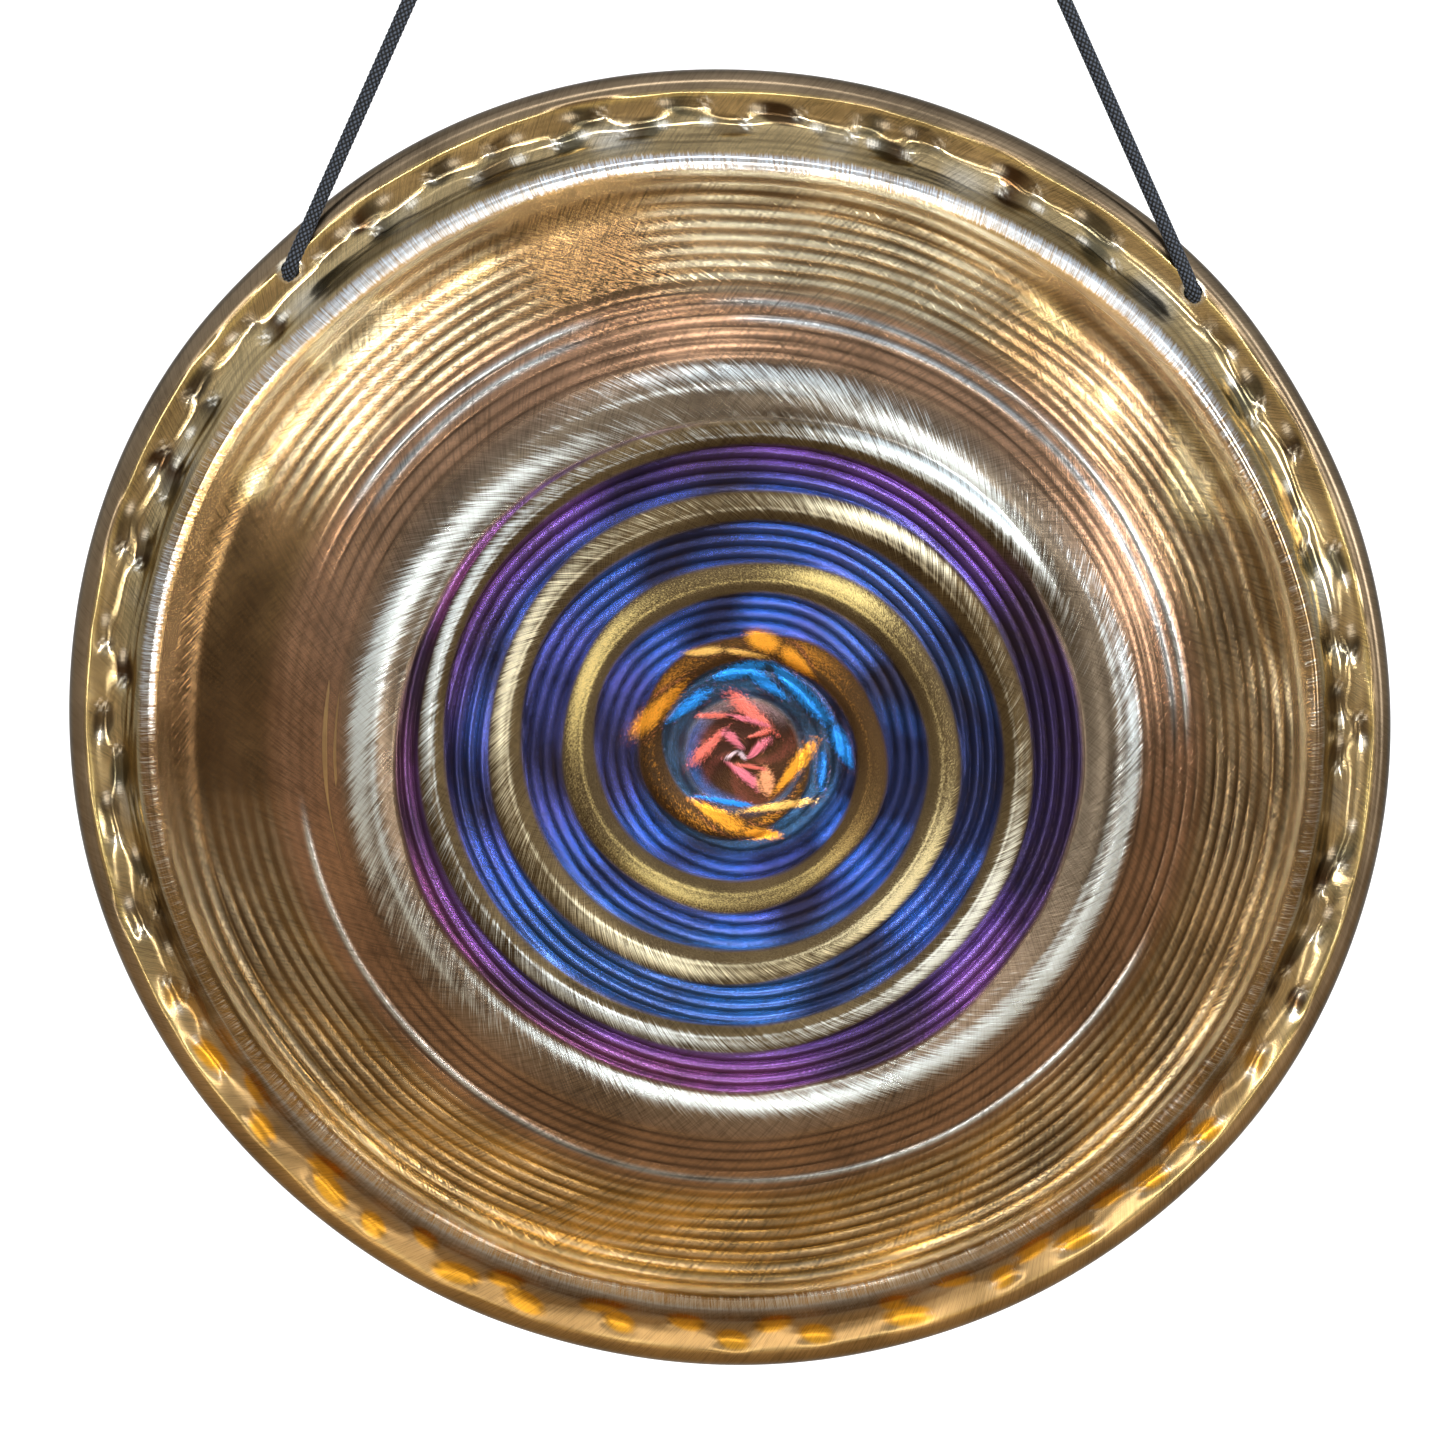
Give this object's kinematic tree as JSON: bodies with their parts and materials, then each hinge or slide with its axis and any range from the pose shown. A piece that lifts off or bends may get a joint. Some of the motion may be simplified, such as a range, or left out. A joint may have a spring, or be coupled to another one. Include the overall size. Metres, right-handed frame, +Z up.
{
  "type": "tam-tam gong",
  "caption": "Hand-hammered bronze tam-tam gong with a turned rim and a spiral heat-coloured middle, hung by braided cords from S-hooks.",
  "frame": {"origin": "midway between the upper bowls of the two S-hooks, which is the middle of the line that the gong hangs from", "axes": "+Z up, +X to the right as the struck face is seen, +Y from the struck face to the back, so the face looks towards -Y"},
  "size_m": [0.4999, 0.0448, 0.6201],
  "materials": {
    "gong_bronze": "hammered and lathe-grooved bronze, brushed bright and heat-coloured blue, violet and orange in the middle",
    "cord_nylon": "charcoal black round-braided nylon cord",
    "hook_steel": "bright zinc-plated round steel wire"
  },
  "bodies": {
    "hooks": {"hook_left": "hook_steel", "hook_right": "hook_steel"},
    "sling": {"cord_left": "cord_nylon", "cord_right": "cord_nylon", "eye_knot_left": "cord_nylon", "eye_knot_right": "cord_nylon", "eye_left": "cord_nylon", "eye_right": "cord_nylon"},
    "gong": {"gong_plate": "gong_bronze", "stopper_knot_left": "cord_nylon", "stopper_knot_right": "cord_nylon"}
  },
  "joints": [
    {"name": "swing", "type": "hinge", "parent": "hooks", "child": "sling", "pos_m": [0, 0, -0.04141], "axis": [1, 0, 0], "range_deg": [-30, 30]},
    {"name": "tilt", "type": "hinge", "parent": "sling", "child": "gong", "pos_m": [0.00194, 0, -0.18343], "axis": [0.9997, 0, -0.0244], "range_deg": [-25, 4]}
  ]
}
